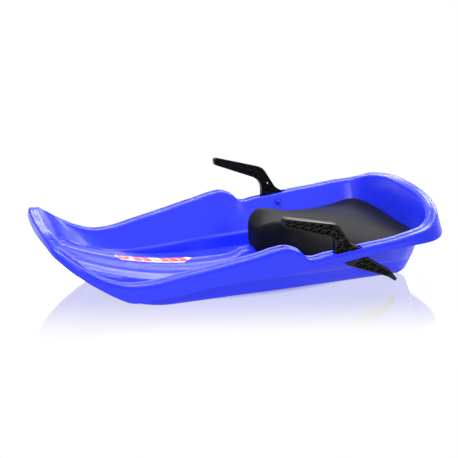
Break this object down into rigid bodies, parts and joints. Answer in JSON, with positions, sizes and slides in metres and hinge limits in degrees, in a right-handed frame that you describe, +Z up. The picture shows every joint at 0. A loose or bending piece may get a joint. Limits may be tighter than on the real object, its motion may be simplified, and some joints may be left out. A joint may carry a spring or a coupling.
{
  "type": "bobsled",
  "caption": "One-piece moulded children's bobsled with a rolled rim, twin runners, a saddle-shaped foam seat pad and a pull-up claw brake lever in a rim slot on each side.",
  "frame": {"origin": "on the ground under the middle of the sled's overall box", "axes": "+X towards the nose, +Y to the rider's left, +Z up"},
  "size_m": [0.9656, 0.4951, 0.2245],
  "materials": {
    "blue_polyethylene": "satin gloss",
    "charcoal_foam": "smooth satin skin",
    "black_nylon": "fine moulded grain",
    "black_polypropylene": "satin",
    "zinc_plated_steel": "bright zinc"
  },
  "bodies": {
    "sled": {"hull": "blue_polyethylene", "seat_pad": "charcoal_foam", "front_left_seat_rivet": "black_polypropylene", "front_right_seat_rivet": "black_polypropylene", "rear_left_seat_rivet": "black_polypropylene", "rear_right_seat_rivet": "black_polypropylene", "left_pivot_bolt": "zinc_plated_steel", "left_bolt_washer": "zinc_plated_steel", "left_pivot_bush": "zinc_plated_steel", "left_thrust_washer": "zinc_plated_steel", "left_lock_washer": "zinc_plated_steel", "left_lock_nut": "zinc_plated_steel", "right_pivot_bolt": "zinc_plated_steel", "right_bolt_washer": "zinc_plated_steel", "right_pivot_bush": "zinc_plated_steel", "right_thrust_washer": "zinc_plated_steel", "right_lock_washer": "zinc_plated_steel", "right_lock_nut": "zinc_plated_steel"},
    "left_brake": {"left_brake_lever": "black_nylon"},
    "right_brake": {"right_brake_lever": "black_nylon"}
  },
  "joints": [
    {"name": "left_brake_pivot", "type": "hinge", "parent": "sled", "child": "left_brake", "pos_m": [-0.1855, 0.22472, 0.09805], "axis": [0, -0.9914, 0.1305], "range_deg": [0, 38]},
    {"name": "right_brake_pivot", "type": "hinge", "parent": "sled", "child": "right_brake", "pos_m": [-0.1855, -0.22472, 0.09805], "axis": [0, -0.9914, -0.1305], "range_deg": [-3.4, 34.6]}
  ]
}
